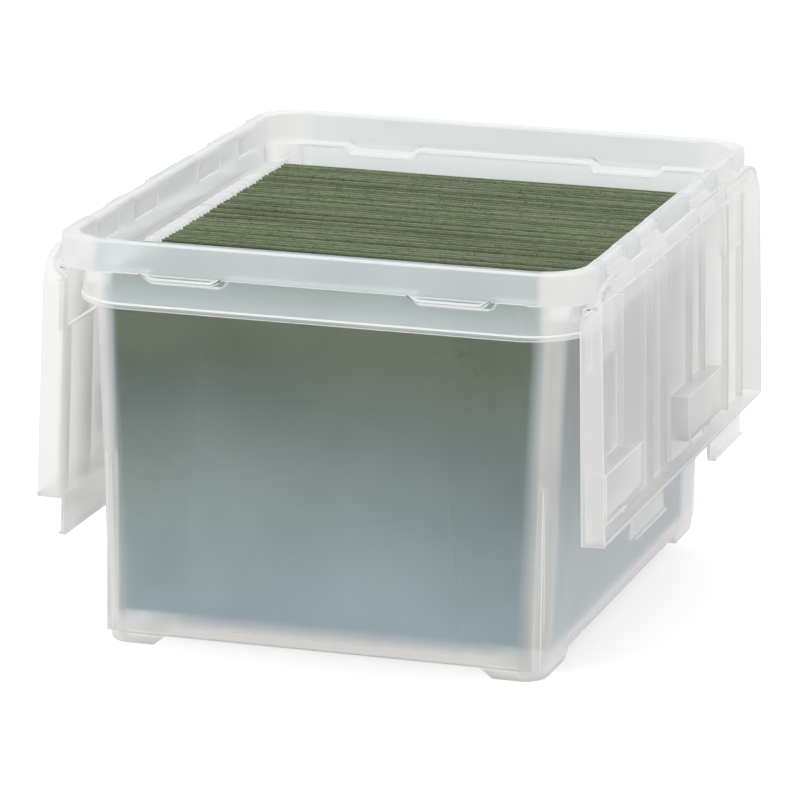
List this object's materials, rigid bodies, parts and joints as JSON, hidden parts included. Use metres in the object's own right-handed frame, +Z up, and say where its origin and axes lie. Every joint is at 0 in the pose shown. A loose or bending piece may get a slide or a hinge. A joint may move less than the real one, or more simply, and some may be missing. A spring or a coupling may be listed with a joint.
{
  "type": "portable file box",
  "caption": "Frosted portable file box with two hinged lid wings hanging open and a row of green hanging folders lying on its side rails.",
  "frame": {"origin": "on the floor, below the middle of the tub", "axes": "+X to the right of the box, +Y to its back, +Z up; the folders run across X and follow one another along Y"},
  "size_m": [0.3878, 0.455, 0.278],
  "materials": {
    "frosted_tub": "frosted, translucent",
    "frosted_lid": "frosted, translucent, fine satin",
    "folder_paper": "uncoated card",
    "coated_rod": "satin white coating"
  },
  "bodies": {
    "tub": {"tub": "frosted_tub", "lower_band": "frosted_tub", "rim": "frosted_tub"},
    "wing_left": {"lid_wing_left": "frosted_lid"},
    "wing_right": {"lid_wing_right": "frosted_lid"},
    "file_01": {"folder_01": "folder_paper", "rods_01": "coated_rod"},
    "file_02": {"folder_02": "folder_paper", "rods_02": "coated_rod"},
    "file_03": {"folder_03": "folder_paper", "rods_03": "coated_rod"},
    "file_04": {"folder_04": "folder_paper", "rods_04": "coated_rod"},
    "file_05": {"folder_05": "folder_paper", "rods_05": "coated_rod"},
    "file_06": {"folder_06": "folder_paper", "rods_06": "coated_rod"},
    "file_07": {"folder_07": "folder_paper", "rods_07": "coated_rod"},
    "file_08": {"folder_08": "folder_paper", "rods_08": "coated_rod"},
    "file_09": {"folder_09": "folder_paper", "rods_09": "coated_rod"},
    "file_10": {"folder_10": "folder_paper", "rods_10": "coated_rod"},
    "file_11": {"folder_11": "folder_paper", "rods_11": "coated_rod"},
    "file_12": {"folder_12": "folder_paper", "rods_12": "coated_rod"},
    "file_13": {"folder_13": "folder_paper", "rods_13": "coated_rod"},
    "file_14": {"folder_14": "folder_paper", "rods_14": "coated_rod"},
    "file_15": {"folder_15": "folder_paper", "rods_15": "coated_rod"},
    "file_16": {"folder_16": "folder_paper", "rods_16": "coated_rod"},
    "file_17": {"folder_17": "folder_paper", "rods_17": "coated_rod"},
    "file_18": {"folder_18": "folder_paper", "rods_18": "coated_rod"},
    "file_19": {"folder_19": "folder_paper", "rods_19": "coated_rod"},
    "file_20": {"folder_20": "folder_paper", "rods_20": "coated_rod"},
    "file_21": {"folder_21": "folder_paper", "rods_21": "coated_rod"},
    "file_22": {"folder_22": "folder_paper", "rods_22": "coated_rod"},
    "file_23": {"folder_23": "folder_paper", "rods_23": "coated_rod"},
    "file_24": {"folder_24": "folder_paper", "rods_24": "coated_rod"},
    "file_25": {"folder_25": "folder_paper", "rods_25": "coated_rod"},
    "file_26": {"folder_26": "folder_paper", "rods_26": "coated_rod"}
  },
  "joints": [
    {"name": "wing_right_hinge", "type": "hinge", "parent": "tub", "child": "wing_right", "pos_m": [0.1752, 0, 0.273], "axis": [0, -1, 0], "range_deg": [0, 268.6]},
    {"name": "wing_left_hinge", "type": "hinge", "parent": "tub", "child": "wing_left", "pos_m": [-0.1752, 0, 0.273], "axis": [0, 1, 0], "range_deg": [0, 268.6]},
    {"name": "file_01_lift", "type": "slide", "parent": "tub", "child": "file_01", "axis": [0, 0, -1], "range_m": [-0.27, 0]},
    {"name": "file_02_lift", "type": "slide", "parent": "tub", "child": "file_02", "axis": [0, 0, -1], "range_m": [-0.27, 0]},
    {"name": "file_03_lift", "type": "slide", "parent": "tub", "child": "file_03", "axis": [0, 0, -1], "range_m": [-0.27, 0]},
    {"name": "file_04_lift", "type": "slide", "parent": "tub", "child": "file_04", "axis": [0, 0, -1], "range_m": [-0.27, 0]},
    {"name": "file_05_lift", "type": "slide", "parent": "tub", "child": "file_05", "axis": [0, 0, -1], "range_m": [-0.27, 0]},
    {"name": "file_06_lift", "type": "slide", "parent": "tub", "child": "file_06", "axis": [0, 0, -1], "range_m": [-0.27, 0]},
    {"name": "file_07_lift", "type": "slide", "parent": "tub", "child": "file_07", "axis": [0, 0, -1], "range_m": [-0.27, 0]},
    {"name": "file_08_lift", "type": "slide", "parent": "tub", "child": "file_08", "axis": [0, 0, -1], "range_m": [-0.27, 0]},
    {"name": "file_09_lift", "type": "slide", "parent": "tub", "child": "file_09", "axis": [0, 0, -1], "range_m": [-0.27, 0]},
    {"name": "file_10_lift", "type": "slide", "parent": "tub", "child": "file_10", "axis": [0, 0, -1], "range_m": [-0.27, 0]},
    {"name": "file_11_lift", "type": "slide", "parent": "tub", "child": "file_11", "axis": [0, 0, -1], "range_m": [-0.27, 0]},
    {"name": "file_12_lift", "type": "slide", "parent": "tub", "child": "file_12", "axis": [0, 0, -1], "range_m": [-0.27, 0]},
    {"name": "file_13_lift", "type": "slide", "parent": "tub", "child": "file_13", "axis": [0, 0, -1], "range_m": [-0.27, 0]},
    {"name": "file_14_lift", "type": "slide", "parent": "tub", "child": "file_14", "axis": [0, 0, -1], "range_m": [-0.27, 0]},
    {"name": "file_15_lift", "type": "slide", "parent": "tub", "child": "file_15", "axis": [0, 0, -1], "range_m": [-0.27, 0]},
    {"name": "file_16_lift", "type": "slide", "parent": "tub", "child": "file_16", "axis": [0, 0, -1], "range_m": [-0.27, 0]},
    {"name": "file_17_lift", "type": "slide", "parent": "tub", "child": "file_17", "axis": [0, 0, -1], "range_m": [-0.27, 0]},
    {"name": "file_18_lift", "type": "slide", "parent": "tub", "child": "file_18", "axis": [0, 0, -1], "range_m": [-0.27, 0]},
    {"name": "file_19_lift", "type": "slide", "parent": "tub", "child": "file_19", "axis": [0, 0, -1], "range_m": [-0.27, 0]},
    {"name": "file_20_lift", "type": "slide", "parent": "tub", "child": "file_20", "axis": [0, 0, -1], "range_m": [-0.27, 0]},
    {"name": "file_21_lift", "type": "slide", "parent": "tub", "child": "file_21", "axis": [0, 0, -1], "range_m": [-0.27, 0]},
    {"name": "file_22_lift", "type": "slide", "parent": "tub", "child": "file_22", "axis": [0, 0, -1], "range_m": [-0.27, 0]},
    {"name": "file_23_lift", "type": "slide", "parent": "tub", "child": "file_23", "axis": [0, 0, -1], "range_m": [-0.27, 0]},
    {"name": "file_24_lift", "type": "slide", "parent": "tub", "child": "file_24", "axis": [0, 0, -1], "range_m": [-0.27, 0]},
    {"name": "file_25_lift", "type": "slide", "parent": "tub", "child": "file_25", "axis": [0, 0, -1], "range_m": [-0.27, 0]},
    {"name": "file_26_lift", "type": "slide", "parent": "tub", "child": "file_26", "axis": [0, 0, -1], "range_m": [-0.27, 0]}
  ]
}
